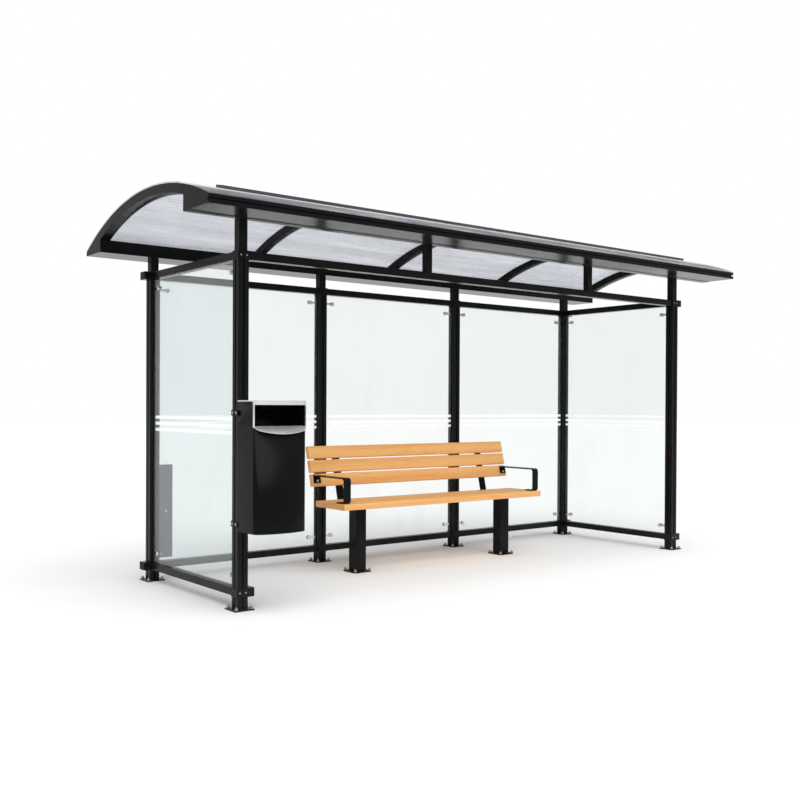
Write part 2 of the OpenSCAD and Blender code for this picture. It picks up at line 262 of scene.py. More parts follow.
@dataclass(frozen=True)
class PowderCoat(Finish):
    """Polyester powder coat on aluminium or steel, sprayed on dry and baked.

    It gives a deep even colour under a satin skin with a faint orange peel, which smears what it
    mirrors. Ledges hold a little dust, and feet are splashed by rain.
    """

    colour: str = "#0c0d0d"
    dust: str = "#6d6a64"
    roughness: float = 0.22
    specular: float = 0.12
    # Real peel is about 2 mm across and is drawn at 7 mm, so that it shows at all.
    peel_mm: float = 7.0
    cloud_mm: float = 260.0
    splash_height: float = 0.35

    def shader(self, tree: Tree, place: Socket) -> Socket:
        """Satin coat with dust on ledges and splashes near the ground."""
        cloud = self.grain(tree, place, (self.cloud_mm,) * 3, 5)
        peel = self.grain(tree, place, (self.peel_mm,) * 3, 2)
        facing = add_node(
            tree,
            "ShaderNodeSeparateXYZ",
            {"Vector": add_node(tree, "ShaderNodeNewGeometry").outputs["Normal"]},
        ).outputs["Z"]
        height = add_node(tree, "ShaderNodeSeparateXYZ", {"Vector": place}).outputs["Z"]
        ledge = self.spread(tree, facing, (0.7, 1.0), (0.0, 0.16))
        splash = self.spread(tree, height, (0.0, self.splash_height), (0.10, 0.0))
        dirty = add_node(
            tree, "ShaderNodeMath", {0: ledge, 1: splash}, operation="ADD"
        ).outputs["Value"]
        patch = self.spread(tree, cloud, (0.35, 0.7), (0.15, 1.0))
        share = add_node(
            tree, "ShaderNodeMath", {0: dirty, 1: patch}, operation="MULTIPLY"
        ).outputs["Value"]
        shade = self.blend(
            tree,
            self.spread(tree, cloud, (0.3, 0.7), (0.0, 0.35)),
            linear(self.colour),
            linear("#151617"),
        )
        worn = self.spread(tree, peel, (0.25, 0.75), (self.roughness - 0.05, self.roughness + 0.08))
        return add_node(
            tree,
            "ShaderNodeBsdfPrincipled",
            {
                "Base Color": self.blend(tree, share, shade, linear(self.dust)),
                "Roughness": worn,
                "Specular IOR Level": self.specular,
                "Normal": self.bump(tree, peel, 0.25, 0.18),
            },
        ).outputs["BSDF"]


@dataclass(frozen=True)
class ToughenedGlass(Finish):
    """Float glass, heated and quenched, in 8 mm panels.

    It is clear with a cool cast, mirrors more at a slant, and carries a thin film of wiped dust
    that veils what is behind it.
    """

    tint: str = "#f9fbfb"
    film: str = "#f2f6f8"
    veil: Pair = (0.02, 0.08)
    slant: float = 0.095
    cloud_mm: float = 620.0
    wipe_mm: Point = (260.0, 260.0, 900.0)

    def shader(self, tree: Tree, place: Socket) -> Socket:
        """Clear pane, its mirror and its film of dust."""
        cloud = self.grain(tree, place, (self.cloud_mm,) * 3, 2)
        wipe = self.grain(tree, place, self.wipe_mm, 4)
        film = add_node(
            tree, "ShaderNodeMath", {0: cloud, 1: wipe}, operation="MULTIPLY"
        ).outputs["Value"]
        veil = self.spread(tree, film, (0.12, 0.42), self.veil)
        mirror = add_node(tree, "ShaderNodeLayerWeight", {"Blend": self.slant}).outputs["Facing"]
        share = add_node(
            tree, "ShaderNodeMath", {0: veil, 1: mirror}, operation="MAXIMUM"
        ).outputs["Value"]
        skin = add_node(
            tree,
            "ShaderNodeBsdfPrincipled",
            {
                "Base Color": linear(self.film),
                "Roughness": self.spread(tree, wipe, (0.3, 0.7), (0.04, 0.12)),
                "Specular IOR Level": 0.5,
            },
        ).outputs["BSDF"]
        clear = add_node(
            tree, "ShaderNodeBsdfTransparent", {"Color": linear(self.tint)}
        ).outputs["BSDF"]
        return add_node(
            tree, "ShaderNodeMixShader", {0: share, 1: clear, 2: skin}
        ).outputs["Shader"]


@dataclass(frozen=True)
class Polycarbonate(Finish):
    """Extruded polycarbonate sheet, bent cold over the arches.

    It lets daylight through in soft clouds, because rain and dust have left it hazy, and its
    skin still shines.
    """

    tint: str = "#f3f4f7"
    haze: str = "#c3c8d3"
    veil: Pair = (0.14, 0.42)
    cloud_mm: Point = (560.0, 170.0, 170.0)
    run_mm: Point = (1500.0, 90.0, 90.0)

    def shader(self, tree: Tree, place: Socket) -> Socket:
        """Hazy sheet with dust clouds and dried runs of rain."""
        cloud = self.grain(tree, place, self.cloud_mm, 5)
        run = self.grain(tree, place, self.run_mm, 3)
        dirt = add_node(
            tree, "ShaderNodeMath", {0: cloud, 1: run}, operation="MULTIPLY"
        ).outputs["Value"]
        veil = self.spread(tree, dirt, (0.14, 0.38), self.veil)
        skin = add_node(
            tree,
            "ShaderNodeBsdfPrincipled",
            {
                "Base Color": self.blend(
                    tree,
                    self.spread(tree, cloud, (0.35, 0.65), (0.0, 1.0)),
                    linear(self.haze),
                    linear("#eef0f4"),
                ),
                "Roughness": self.spread(tree, run, (0.3, 0.7), (0.12, 0.30)),
                "Specular IOR Level": 0.5,
                "Normal": self.bump(tree, cloud, 1.2, 0.25),
            },
        ).outputs["BSDF"]
        clear = add_node(
            tree, "ShaderNodeBsdfTransparent", {"Color": linear(self.tint)}
        ).outputs["BSDF"]
        return add_node(tree, "ShaderNodeMixShader", {0: veil, 1: clear, 2: skin}).outputs["Shader"]


@dataclass(frozen=True)
class OiledHardwood(Finish):
    """Hardwood plank, planed and oiled, with the grain along X.

    It gives a warm honey colour with growth rings cut lengthwise, fine fibres and pores, and
    darker end grain.
    """

    pith: Pair = (0.0, 0.0)
    light: str = "#ffc47a"
    dark: str = "#e89c50"
    ends: str = "#c67f3d"
    ring_mm: float = 14.0
    # Fibres are 0.5 mm wide and are drawn at 3 mm, so that they show at all.
    fibre_mm: float = 3.0

    def shader(self, tree: Tree, place: Socket) -> Socket:
        """Rings, fibres and pores under thin oil."""
        shifted = add_node(
            tree,
            "ShaderNodeMapping",
            {
                "Vector": place,
                "Location": (0.0, self.pith[0], self.pith[1]),
                "Scale": (0.09, 1.0, 1.0),
            },
        ).outputs["Vector"]
        rings = add_node(
            tree,
            "ShaderNodeTexWave",
            {
                "Vector": shifted,
                "Scale": per_mm(self.ring_mm) / 20,
                "Distortion": 5.0,
                "Detail": 3.0,
                "Detail Scale": 1.6,
                "Detail Roughness": 0.6,
            },
            wave_type="RINGS",
            rings_direction="X",
            wave_profile="SIN",
        ).outputs["Fac"]
        fibres = self.grain(tree, place, (self.fibre_mm * 60, self.fibre_mm, self.fibre_mm), 3)
        tone = self.grain(tree, place, (700.0, 60.0, 60.0), 2)
        figure = self.blend(
            tree,
            self.spread(tree, rings, (0.0, 1.0), (0.05, 0.55)),
            linear(self.light),
            linear(self.dark),
        )
        toned = self.blend(
            tree, self.spread(tree, tone, (0.35, 0.65), (0.0, 0.45)), figure, linear("#fac482")
        )
        pores = self.blend(
            tree, self.spread(tree, fibres, (0.56, 0.72), (0.0, 0.55)), toned, linear("#c67c3a")
        )
        facing = add_node(
            tree,
            "ShaderNodeSeparateXYZ",
            {"Vector": add_node(tree, "ShaderNodeNewGeometry").outputs["Normal"]},
        ).outputs["X"]
        end = add_node(tree, "ShaderNodeMath", {0: facing}, operation="ABSOLUTE").outputs["Value"]
        return add_node(
            tree,
            "ShaderNodeBsdfPrincipled",
            {
                "Base Color": self.blend(
                    tree, self.spread(tree, end, (0.6, 0.9), (0.0, 0.5)), pores, linear(self.ends)
                ),
                "Roughness": self.spread(tree, fibres, (0.3, 0.7), (0.42, 0.60)),
                "Specular IOR Level": 0.35,
                "Normal": self.bump(tree, fibres, 0.4, 0.25),
            },
        ).outputs["BSDF"]


@dataclass(frozen=True)
class Mottled(Finish):
    """Opaque finish of one colour with patches of another and a fine grain in its gloss.

    The grain also gives its relief. Metals have it drawn out along their brush lines. It can also
    glow in its own colour, which is painted light.
    """

    colour: str
    patch_colour: str
    patch_mm: float
    patch_detail: int
    patch_at: Pair
    patch_share: float
    grain_mm: Point
    grain_detail: int
    gloss: Pair
    metallic: float = 0.0
    specular: float = 0.5
    relief_mm: float = 0.2
    relief_share: float = 0.2
    # Emission in the finish's own colour: painted light, since no lamp is there.
    painted_glow: float = 0.0

    def shader(self, tree: Tree, place: Socket) -> Socket:
        """Patches of colour under a grained sheen."""
        patch = self.grain(tree, place, (self.patch_mm,) * 3, self.patch_detail)
        grain = self.grain(tree, place, self.grain_mm, self.grain_detail)
        share = self.spread(tree, patch, self.patch_at, (0.0, self.patch_share))
        colours = linear(self.colour), linear(self.patch_colour)
        return add_node(
            tree,
            "ShaderNodeBsdfPrincipled",
            {
                "Base Color": self.blend(tree, share, *colours),
                "Metallic": self.metallic,
                "Roughness": self.spread(tree, grain, (0.3, 0.7), self.gloss),
                "Specular IOR Level": self.specular,
                # The emission is a painted glow, light that the finish gives off itself.
                "Emission Color": linear(self.colour),
                "Emission Strength": self.painted_glow,
                "Normal": self.bump(tree, grain, self.relief_mm, self.relief_share),
            },
        ).outputs["BSDF"]


FRAME_COAT = PowderCoat("black_powder_coat_aluminium")
STEEL_COAT = PowderCoat("black_powder_coat_steel", colour="#090a0a", roughness=0.22, specular=0.08)
BOX_COAT = PowderCoat("grey_powder_coat", colour="#55575a", dust="#8b8a86", roughness=0.42)
# The strip's grey is lighter than the frame's black as a painted reflection, standing in for the
# light that its slope mirrors.
STRIP_COAT = PowderCoat("strip_coat_painted_reflection", colour="#58595b")
PANE = ToughenedGlass("toughened_glass")
ROOF_PLASTIC = Polycarbonate("hazy_polycarbonate")
# White ceramic ink, screen-printed on the glass and fired in. Its dots are 0.5 mm across and
# are drawn at 4 mm, so that they show at all.
# The ink's glow is painted light that brightens the stripes beyond their lighting.
STRIPE_INK = Mottled(
    "white_printed_enamel", "#fbfcfd", "#e6eaee", 4.0, 1, (0.4, 0.7), 0.3,
    (4.0, 4.0, 4.0), 1, (0.42, 0.55), relief_mm=0.05, relief_share=0.1, painted_glow=0.35,
)
# Stainless steel brushed along the shelter. Its lines are 0.2 mm wide and drawn at 2.5 mm.
BRUSHED = Mottled(
    "brushed_stainless", "#e8e8e6", "#cfcfcc", 60.0, 4, (0.4, 0.75), 0.6,
    (120.0, 120.0, 2.5), 2, (0.36, 0.52), 1.0, relief_mm=0.12, relief_share=0.15,
)
POLISHED = replace(
    BRUSHED, name="polished_stainless", colour="#cfd1d2",
    grain_mm=(9.0, 9.0, 9.0), gloss=(0.10, 0.26),
)
ZINC = replace(
    BRUSHED, name="zinc_plated_steel", colour="#b4b5b2", patch_colour="#7d7d79",
    patch_mm=14.0, grain_mm=(6.0, 6.0, 6.0), gloss=(0.30, 0.46),
)
# Moulded rubber or nylon, nearly black, greyed where it has weathered.
SEAL_RUBBER = Mottled(
    "seal_rubber", "#121213", "#2f3031", 5.0, 3, (0.35, 0.7), 0.8,
    (5.0, 5.0, 5.0), 3, (0.6, 0.8), specular=0.3,
)
# Smooth painted screed, almost white, with faint trowel clouds.
PALE_FLOOR = Mottled(
    "pale_floor", "#f7f7f6", "#f3f3f2", 900.0, 3, (0.3, 0.7), 0.5,
    (900.0, 900.0, 900.0), 3, (0.80, 0.88), specular=0.2, relief_share=0.0,
)


# ---------------------------------------------------------------- shapes


class Shape:
    """A mesh being built in the shelter's frame, made of several bodies."""

    def __init__(self) -> None:
        """Starts empty."""
        self.mesh = bmesh.new()

    def box(
        self,
        low: Sequence[float],
        high: Sequence[float],
        rounding: float = 0.0,
        turn: Matrix | None = None,
        steps: int = 3,
    ) -> None:
        """Adds a box with rounded edges.

        Args:
            low: Lowest corner.
            high: Highest corner.
            rounding: Radius of its edges.
            turn: Where the box goes once built, if not where it is.
            steps: Facets across each rounded edge.
        """
        size = [h - l for l, h in zip(low, high)]
        middle = [(h + l) / 2 for l, h in zip(low, high)]
        matrix = Matrix.Translation(middle) @ Matrix.Diagonal((*size, 1.0))
        made = bmesh.ops.create_cube(self.mesh, size=1.0, matrix=matrix)["verts"]
        if turn is not None:
            bmesh.ops.transform(self.mesh, matrix=turn, verts=made)
        if rounding > 0:
            edges = {e for v in made for e in v.link_edges}
            bmesh.ops.bevel(
                self.mesh,
                geom=list(edges),
                offset=rounding,
                segments=steps,
                profile=0.5,
                affect="EDGES",
                clamp_overlap=True,
            )

    def turned(
        self, profile: Iterable[Pair], place: Sequence[float], axis: Axis = Axis.UP, steps: int = 20
    ) -> None:
        """Adds a body of revolution.

        Args:
            profile: Radius and height of each ring, from the foot up; a radius of 0 closes it.
            place: Where the foot's middle is.
            axis: Which way its height points.
            steps: Facets around.
        """
        turn = Vector(Axis.UP.value).rotation_difference(Vector(axis.value))
        matrix = Matrix.Translation(place) @ turn.to_matrix().to_4x4()
        rings = [self._ring(r, z, matrix, steps) for r, z in profile]
        for below, above in zip(rings, rings[1:]):
            self._join(below, above)
        for end in (rings[0], rings[-1]):
            if len(end) > 2:
                self.mesh.faces.new(end)

    def _ring(
        self, radius: float, height: float, matrix: Matrix, steps: int
    ) -> list[bmesh.types.BMVert]:
        """One ring of points, or a single point where the radius is 0."""
        count = steps if radius > 0 else 1
        angles = [math.tau * i / count for i in range(count)]
        return [
            self.mesh.verts.new(
                matrix @ Vector((radius * math.cos(a), radius * math.sin(a), height))
            )
            for a in angles
        ]

    def _join(self, below: list[bmesh.types.BMVert], above: list[bmesh.types.BMVert]) -> None:
        """Joins two rings with faces."""
        count = max(len(below), len(above))
        for i in range(count):
            j = (i + 1) % count
            corners = [below[i % len(below)], below[j % len(below)]]
            corners += [above[j % len(above)], above[i % len(above)]]
            unique = list(dict.fromkeys(corners))
            if len(unique) > 2:
                self.mesh.faces.new(unique)

    def prism(
        self, outline: Sequence[Pair], foot: float | Sequence[float], top: float | Sequence[float]
    ) -> None:
        """Adds an upright prism over an outline in plan.

        Args:
            outline: Points in plan, in order.
            foot: Height of the foot, the same all over or for each point.
            top: Height of the top, given the same way.
        """
        feet = [foot] * len(outline) if isinstance(foot, float) else list(foot)
        tops = [top] * len(outline) if isinstance(top, float) else list(top)
        below = [self.mesh.verts.new((x, y, z)) for (x, y), z in zip(outline, feet)]
        above = [self.mesh.verts.new((x, y, z)) for (x, y), z in zip(outline, tops)]
        self._join(below, above)
        self.mesh.faces.new(below)
        self.mesh.faces.new(above)

    def place(
        self, name: str, finish: Finish, slot: Slot, crease_deg: float = 35.0
    ) -> bpy.types.Object:
        """Makes the piece and lets it ride on the shelter.

        Args:
            name: Name of the piece.
            finish: Its finish.
            slot: Not used.
            crease_deg: Edges sharper than this stay crisp.

        Returns:
            The new object.
        """
        bmesh.ops.recalc_face_normals(self.mesh, faces=self.mesh.faces[:])
        data = bpy.data.meshes.new(name)
        self.mesh.to_mesh(data)
        self.mesh.free()
        data.polygons.foreach_set("use_smooth", [True] * len(data.polygons))
        data.set_sharp_from_angle(angle=math.radians(crease_deg))
        data.materials.append(finish.material())
        piece = bpy.data.objects.new(name, data)
        bpy.context.scene.collection.objects.link(piece)
        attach(piece, "root")
        LOG.info("%s: %d faces in %s", name, len(data.polygons), finish.name)
        return piece


@dataclass(frozen=True)
class Screw:
    """A button-head screw with a hexagon recess and a washer."""

    head_r: float = 5.5 * MM
    head_h: float = 3.2 * MM
    washer_r: float = 8.0 * MM
    washer_t: float = 1.2 * MM

    def add(self, shape: Shape, place: Sequence[float], axis: Axis) -> None:
        """Adds the screw.

        Args:
            shape: Mesh that it goes in.
            place: Where its washer meets the piece it holds.
            axis: Which way its head points.
        """
        t, r, h = self.washer_t, self.head_r, self.head_h
        key = 0.45 * r
        profile = [
            (self.washer_r, -0.5 * t),
            (self.washer_r, 0.7 * t),
            (self.washer_r - 0.3 * t, t),
            (r, t),
            (r, t + 0.25 * h),
            (0.86 * r, t + 0.7 * h),
            (0.62 * r, t + 0.97 * h),
            (key, t + h),
            (key, t + 0.4 * h),
            (0.0, t + 0.3 * h),
        ]
        shape.turned(profile, place, axis, 18)


@dataclass(frozen=True)
class Anchor:
    """An M12 anchor: washer, hexagon nut and the stud's threaded end."""

    washer_r: float = 12.0 * MM
    washer_t: float = 2.5 * MM
    nut_r: float = 10.4 * MM
    nut_h: float = 10.0 * MM
    stud_r: float = 6.0 * MM
    stud_h: float = 21.0 * MM
    pitch: float = 1.75 * MM

    def add(self, shape: Shape, place: Sequence[float]) -> None:
        """Adds the anchor.

        Args:
            shape: Mesh that it goes in.
            place: Where its washer meets the plate.
        """
        x, y, z = place
        t, chamfer = self.washer_t, 1.2 * MM
        shape.turned(
            [
                (self.washer_r, 0.0),
                (self.washer_r, 0.8 * t),
                (self.washer_r - 0.2 * t, t),
                (0.0, t),
            ],
            place,
        )
        foot, top = z + t, z + t + self.nut_h
        shape.turned(
            [
                (self.nut_r - chamfer, 0.0),
                (self.nut_r, 0.5 * chamfer),
                (self.nut_r, self.nut_h - 0.5 * chamfer),
                (self.nut_r - chamfer, self.nut_h),
                (0.0, self.nut_h),
            ],
            (x, y, foot),
            steps=6,
        )
        turns = int((self.stud_h - t - self.nut_h) / self.pitch)
        thread: list[Pair] = [(self.stud_r, -0.5 * self.pitch)]
        for i in range(turns):
            thread.append((self.stud_r, (i + 0.25) * self.pitch))
            thread.append((self.stud_r - 0.8 * MM, (i + 0.75) * self.pitch))
        thread.append((self.stud_r - 1.0 * MM, turns * self.pitch))
        thread.append((0.0, turns * self.pitch))
        shape.turned(thread, (x, y, top), steps=14)


def dress(node: str, finish: Finish, rounding_mm: float, steps: int = 2) -> None:
    """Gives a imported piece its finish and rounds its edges.

    Args:
        node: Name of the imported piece.
        finish: Its finish.
        rounding_mm: Radius of its edges, or 0 to leave them.
        steps: Facets across each edge.
    """
    piece = bpy.data.objects[node]
    piece.data.materials.clear()
    piece.data.materials.append(finish.material())
    if rounding_mm > 0:
        weld = piece.modifiers.new("weld", "WELD")
        weld.merge_threshold = 0.01 * MM
        bevel = piece.modifiers.new("edge_rounding", "BEVEL")
        bevel.limit_method = "ANGLE"
        bevel.angle_limit = math.radians(40)
        bevel.width = rounding_mm * MM
        bevel.segments = steps
        bevel.harden_normals = True
    LOG.info("%s: dressed in %s", node, finish.name)


# ---------------------------------------------------------------- sub-assemblies


def plan_middle(node: str) -> Pair:
    """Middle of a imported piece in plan."""
    low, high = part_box(node)
    return (low.x + high.x) / 2, (low.y + high.y) / 2


def anchor_plate(shape: Shape, place: Sequence[float], gap: float) -> None:
    """Adds four anchors through a base plate.

    Args:
        shape: Mesh that they go in.
        place: Middle of the plate's top.
        gap: Distance between anchors along X and along Y.
    """
    x, y, z = place
    for dx in (-gap / 2, gap / 2):
        for dy in (-gap / 2, gap / 2):
            Anchor().add(shape, (x + dx, y + dy, z))


@dataclass
class Frame:
    """Posts, rails, collars and struts, with their anchors, plugs and set screws."""

    plate_t: float = 8 * MM
    bolt_gap: float = 100 * MM
    collar_w: float = 78 * MM
    socket_l: float = 38 * MM
    rounding_mm: float = 1.6

    def __post_init__(self) -> None:
        """Finds the posts."""
        self.front_posts = ["post_front_left", "post_front_right"]
        self.rear_posts = [
            "post_rear_left", "post_rear_middle_left", "post_rear_middle_right", "post_rear_right"
        ]
        self.posts = {name: plan_middle(name) for name in self.front_posts + self.rear_posts}

    def build(self) -> None:
        """Dresses the bars and adds what holds them."""
        bars = list(self.posts) + [
            "low_rail_left",
            "low_rail_right",
            "low_rails_rear",
            "top_rail_left",
            "top_rail_right",
            "top_rails_rear",
            "top_rail_front",
            "front_struts",
            "rear_struts",
        ]
        for bar in bars:
            dress(bar, FRAME_COAT, self.rounding_mm)
        for collar in ("low_collars", "top_collars"):
            dress(collar, FRAME_COAT, 2.5)
        dress("base_plates", FRAME_COAT, 1.5)
        self.anchors()
        self.socket_plugs()
        self.set_screws()

    def anchors(self) -> None:
        """Adds four anchors through each base plate."""
        shape = Shape()
        for x, y in self.posts.values():
            anchor_plate(shape, (x, y, self.plate_t), self.bolt_gap)
        shape.place("post_anchors", ZINC, Slot.FRAME)

    def sockets(self) -> list[tuple[float, float, float, float]]:
        """Finds the open ends of the collars' sockets.

        Returns:
            For each one, where its mouth's middle is and which way along X it opens.
        """
        found = []
        reach = self.collar_w / 2 + self.socket_l
        for level, names in (
            ("low_collars", {"post_front_left": 1, "post_front_right": 1}),
            ("top_collars", {"post_front_right": 1}),
        ):
            low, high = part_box(level)
            for name, way in {**names, "post_rear_left": -1, "post_rear_right": 1}.items():
                x, y = self.posts[name]
                found.append((x + way * reach, y, (low.z + high.z) / 2, float(way)))
        return found

    def socket_plugs(self) -> None:
        """Adds a nylon plug on each free socket."""
        shape = Shape()
        half_w, half_h, proud = 0.44 * self.collar_w, 22 * MM, 1.6 * MM
        for x, y, z, way in self.sockets():
            ends = sorted((x - way * proud, x + way * proud))
            shape.box(
                (ends[0], y - half_w, z - half_h), (ends[1], y + half_w, z + half_h), 1.2 * MM
            )
        shape.place("socket_plugs", SEAL_RUBBER, Slot.FRAME)

    def set_screws(self) -> None:
        """Adds two screws on the outer face of each collar."""
        shape = Shape()
        screw = Screw(4.0 * MM, 2.2 * MM, 5.5 * MM, 0.8 * MM)
        for level in ("low_collars", "top_collars"):
            low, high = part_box(level)
            middle = (low.z + high.z) / 2
            for name, (x, y) in self.posts.items():
                outward = Axis.FRONT if name in self.front_posts else Axis.BACK
                side = outward.value[1] * self.collar_w / 2
                for dx in (-20 * MM, 20 * MM):
                    screw.add(shape, (x + dx, y + side, middle), outward)
        shape.place("collar_screws", ZINC, Slot.FRAME)


@dataclass
class Roof:
    """Beams, arches, ribs, strip and sheet, with a soffit joint cover and screws."""

    sheet_r: float = 2018 * MM
    crown_y: float = -108 * MM
    joint_w: float = 73 * MM
    joint_t: float = 2.5 * MM
    screw_rows: int = 7
    # How far the rows of screws reach in front of the crown and behind it
    screw_front: float = 330 * MM
    screw_rear: float = 720 * MM
    rib_w: float = 50 * MM

    def build(self) -> None:
        """Dresses the roof and adds its small pieces."""
        for bar in ("roof_front_beam", "roof_rear_beam"):
            dress(bar, FRAME_COAT, 2.5, 3)
        for bar in ("roof_arch_left", "roof_arch_right", "roof_ribs"):
            dress(bar, FRAME_COAT, 2.0)
        # The strip's grey coat is a painted reflection.
        dress("roof_strip", STRIP_COAT, 2.0)
        dress("roof_sheet", ROOF_PLASTIC, 0)
        self.soffit_joint()
        self.sheet_screws()

    def soffit_joint(self) -> None:
        """Adds the joint cover along the inner edge of the front beam's underside."""
        low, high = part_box("roof_front_beam")
        shape = Shape()
        shape.box(
            (low.x + 1 * MM, high.y - self.joint_w, low.z - self.joint_t),
            (high.x - 1 * MM, high.y - 3 * MM, low.z + 1 * MM),
            1.2 * MM,
        )
        shape.place("soffit_joint_cover", FRAME_COAT, Slot.FRAME)

    def sheet_top(self, y: float) -> float:
        """Height of the sheet's outer face at a depth."""
        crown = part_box("roof_sheet")[1].z
        drop = self.sheet_r - math.sqrt(self.sheet_r**2 - (y - self.crown_y) ** 2)
        return crown - drop

    def sheet_screws(self) -> None:
        """Adds screws through the sheet into each arch and rib."""
        shape = Shape()
        ribs_low, ribs_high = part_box("roof_ribs")
        gap = (ribs_high.x - ribs_low.x - self.rib_w) / 2
        ends = [plan_middle(arch)[0] for arch in ("roof_arch_left", "roof_arch_right")]
        for x in (*ends, -gap, 0.0, gap):
            for i in range(self.screw_rows):
                step = (self.screw_front + self.screw_rear) / (self.screw_rows - 1)
                y = self.crown_y - self.screw_front + i * step
                Screw().add(shape, (x, y, self.sheet_top(y) - 0.5 * MM), Axis.UP)
        shape.place("sheet_screws", POLISHED, Slot.FRAME)


@dataclass
class GlassWalls:
    """Five panes with printed stripes, rubber seals and clamps."""

    stripe_z: tuple[float, float, float] = (1041 * MM, 1083 * MM, 1125 * MM)
    stripe_h: float = 20 * MM
    ink_t: float = 0.4 * MM
    seal_w: float = 3.2 * MM
    seal_out: float = 5.0 * MM
    slot_in: float = 6 * MM
    button_x: float = 103 * MM
    button_r: float = 15 * MM
    button_proud: float = 9 * MM
    post_half: float = 35 * MM

    side_panes = ("glass_left", "glass_right")
    rear_panes = ("glass_rear_left", "glass_rear_middle", "glass_rear_right")

    def build(self) -> None:
        """Dresses the panes and clamps and adds stripes, seals and screws."""
        for pane in (*self.side_panes, *self.rear_panes):
            dress(pane, PANE, 0)
        dress("glass_clamps", POLISHED, 1.2)
        self.stripes()
        self.seals()
        self.clamp_screws()

    def stripes(self) -> None:
        """Prints three white stripes on each pane's inner face."""
        shape = Shape()
        for pane in (*self.side_panes, *self.rear_panes):
            low, high = (Vector(corner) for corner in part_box(pane))
            if pane in self.side_panes:
                inner = high.x if pane == "glass_left" else low.x
                sign = 1.0 if pane == "glass_left" else -1.0
                xs = sorted((inner, inner + sign * self.ink_t))
                ys = [low.y + self.slot_in, high.y - self.slot_in]
            else:
                xs = [low.x + self.slot_in, high.x - self.slot_in]
                ys = [low.y - self.ink_t, low.y]
            for z in self.stripe_z:
                shape.box(
                    (xs[0], ys[0], z - self.stripe_h / 2), (xs[1], ys[1], z + self.stripe_h / 2)
                )
        shape.place("printed_stripes", STRIPE_INK, Slot.GLASS)

    def seals(self) -> None:
        """Adds a rubber seal on both faces of each upright edge of each pane."""
        shape = Shape()
        for pane in (*self.side_panes, *self.rear_panes):
            low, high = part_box(pane)
            along, across = (1, 0) if pane in self.side_panes else (0, 1)
            for edge, way in ((low[along] + self.slot_in, 1), (high[along] - self.slot_in, -1)):
                for face, out in ((low[across], -1), (high[across], 1)):
                    a, b = [0.0] * 3, [0.0] * 3
                    a[along], b[along] = sorted((edge, edge + way * self.seal_out))
                    a[across], b[across] = sorted((face, face + out * self.seal_w))
                    a[2], b[2] = low.z, high.z
                    shape.box(a, b, 1.2 * MM, steps=2)
        shape.place("glazing_seals", SEAL_RUBBER, Slot.FRAME)

    def clamp_screws(self) -> None:
        """Adds a screw in the middle of each clamp's button on the shelter's inside."""
        shape = Shape()
        clamps_low, clamps_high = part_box("glass_clamps")
        heights = (clamps_low.z + self.button_r, clamps_high.z - self.button_r)
        screw = Screw(5.0 * MM, 2.0 * MM, 7.0 * MM, 0.8 * MM)
        for pane in (*self.side_panes, *self.rear_panes):
            low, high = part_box(pane)
            along, across = (1, 0) if pane in self.side_panes else (0, 1)
            inset = self.button_x - self.post_half + self.slot_in
            for z in heights:
                for edge in (low[along] + inset, high[along] - inset):
                    for face, axis in self._faces(low, high, across):
                        place = [0.0, 0.0, z]
                        place[along], place[across] = edge, face
                        if not self._behind_box(pane, edge, z, axis):
                            screw.add(shape, place, axis)
        shape.place("clamp_screws", POLISHED, Slot.CLAMP)

    def _faces(self, low: Vector, high: Vector, across: int) -> list[tuple[float, Axis]]:
        """Both outer faces of a pane's buttons and the way each looks."""
        ways = (Axis.LEFT, Axis.RIGHT) if across == 0 else (Axis.FRONT, Axis.BACK)
        faces = (low[across] - self.button_proud, high[across] + self.button_proud)
        return list(zip(faces, ways))

    @staticmethod
    def _behind_box(pane: str, edge: float, z: float, axis: Axis) -> bool:
        """True where the service box takes the place of a button."""
        low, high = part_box("service_box")
        near = low.x - 20 * MM < edge < high.x + 20 * MM and z < high.z
        return pane == "glass_rear_left" and near and axis is Axis.FRONT


